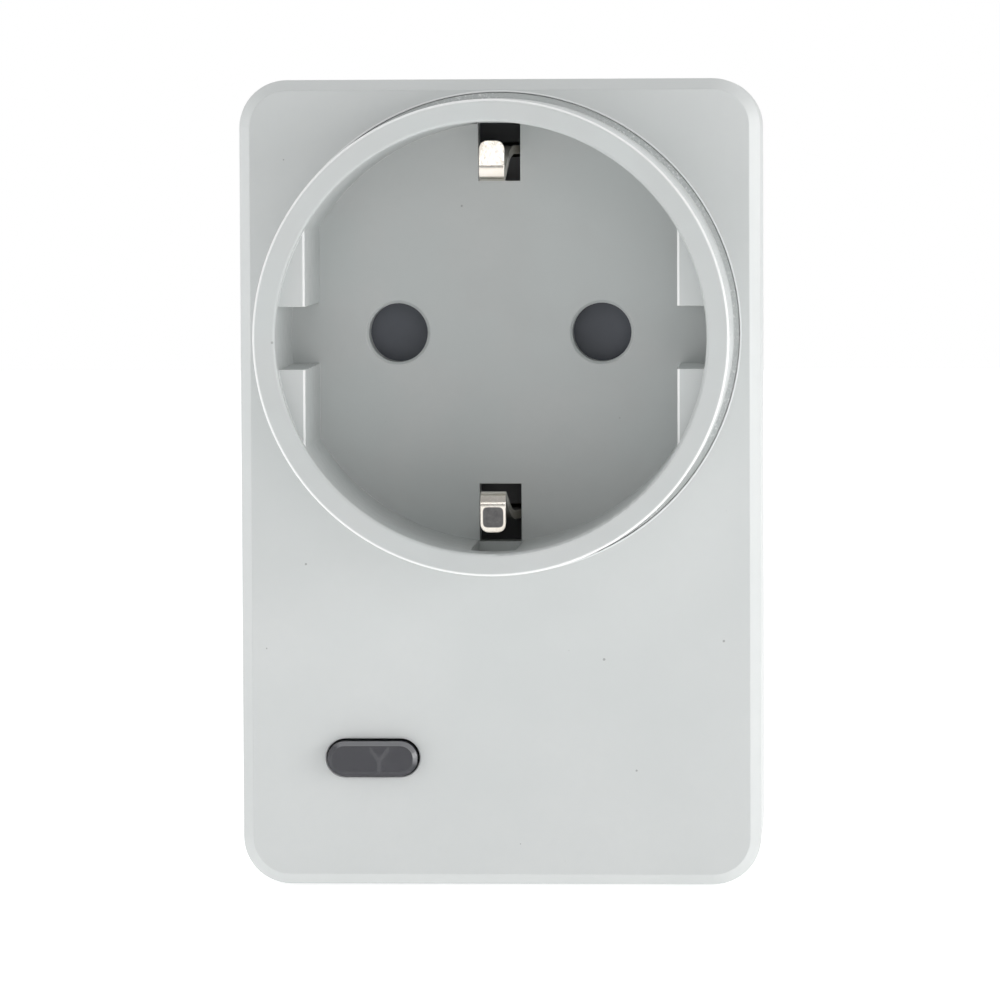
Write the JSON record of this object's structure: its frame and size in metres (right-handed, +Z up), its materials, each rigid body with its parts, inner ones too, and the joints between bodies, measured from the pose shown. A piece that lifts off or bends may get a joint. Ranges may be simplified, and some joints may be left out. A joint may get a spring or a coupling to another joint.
{
  "type": "plug-in power meter",
  "caption": "Pass-through power meter for a mains outlet: slim rounded body, round recessed socket on a collar in front, round plug with two pins behind, small smoked oval button.",
  "frame": {"origin": "middle of the plug's end face, midway between the pins, on the axis that plug and socket share", "axes": "+Y along the plug's pins into the wall, +X to the right seen from the front, +Z up"},
  "size_m": [0.0488, 0.0765, 0.0755],
  "materials": {
    "housing_plastic": "fine satin moulding",
    "socket_plastic": "satin moulding",
    "carrier_plastic": "matt moulding",
    "shutter_plastic": "satin moulding",
    "spring_wire": "drawn wire",
    "contact_brass": "rolled strip",
    "nickel_strip": "nickel plated strip",
    "pin_nickel": "turned and nickel plated",
    "link_copper": "bare copper strip",
    "board_laminate": "solder mask",
    "relay_case": "moulded case",
    "film_case": "potted case",
    "can_sleeve": "shrink sleeve on an aluminium can",
    "choke_winding": "ferrite drum under shrink sleeve",
    "varistor_coat": "dipped epoxy",
    "fuse_body": "ceramic sleeve with tinned caps",
    "shunt_alloy": "resistance alloy strip",
    "chip_epoxy": "moulded epoxy",
    "tinned_can": "tinned sheet",
    "switch_body": "moulded",
    "switch_plunger": "moulded",
    "light_lens": "cast lens",
    "smoked_plastic": "polished smoked moulding",
    "milky_plastic": "translucent moulding",
    "screw_steel": "zinc plated"
  },
  "bodies": {
    "housing": {"board_screws": "screw_steel", "carrier_screws": "screw_steel", "circuit_board": "board_laminate", "contact_carrier": "carrier_plastic", "earth_cross_link": "nickel_strip", "earth_receptacle": "contact_brass", "filter_capacitor": "film_case", "front_cover": "housing_plastic", "fuse": "fuse_body", "holder_screws": "screw_steel", "housing_screws": "screw_steel", "live_contact": "contact_brass", "live_inlet_link": "link_copper", "live_pin": "pin_nickel", "lower_earth_strip": "nickel_strip", "metering_chip": "chip_epoxy", "neutral_contact": "contact_brass", "neutral_inlet_link": "link_copper", "neutral_pin": "pin_nickel", "output_capacitor": "can_sleeve", "pin_holder": "carrier_plastic", "radio_board": "board_laminate", "radio_shield": "tinned_can", "rear_cover": "housing_plastic", "rectifier": "chip_epoxy", "relay": "relay_case", "reservoir_capacitor": "can_sleeve", "shunt": "shunt_alloy", "shutter_spring": "spring_wire", "socket_insert": "socket_plastic", "status_light": "light_lens", "supply_choke": "choke_winding", "tact_switch": "switch_body", "upper_earth_strip": "nickel_strip", "varistor": "varistor_coat"},
    "button": {"power_button": "smoked_plastic", "light_guide": "milky_plastic"},
    "plunger": {"tact_plunger": "switch_plunger"},
    "shutter": {"safety_shutter": "shutter_plastic"}
  },
  "joints": [
    {"name": "button_press", "type": "slide", "parent": "housing", "child": "button", "axis": [0, 1, 0], "range_m": [0, 0.0004], "stiffness_N_per_m": 4000},
    {"name": "plunger_press", "type": "slide", "parent": "housing", "child": "plunger", "axis": [0, 1, 0], "range_m": [0, 0.0004], "stiffness_N_per_m": 1000},
    {"name": "shutter_turn", "type": "hinge", "parent": "housing", "child": "shutter", "pos_m": [0, -0.0355, 0], "axis": [0, 1, 0], "range_deg": [0, 42], "stiffness_Nm_per_rad": 0.002, "springref_deg": -11.46, "deforming": ["shutter_spring"]}
  ],
  "couplings": [
    {"joint": "plunger_press", "follows": "button_press", "ratio": 1}
  ]
}
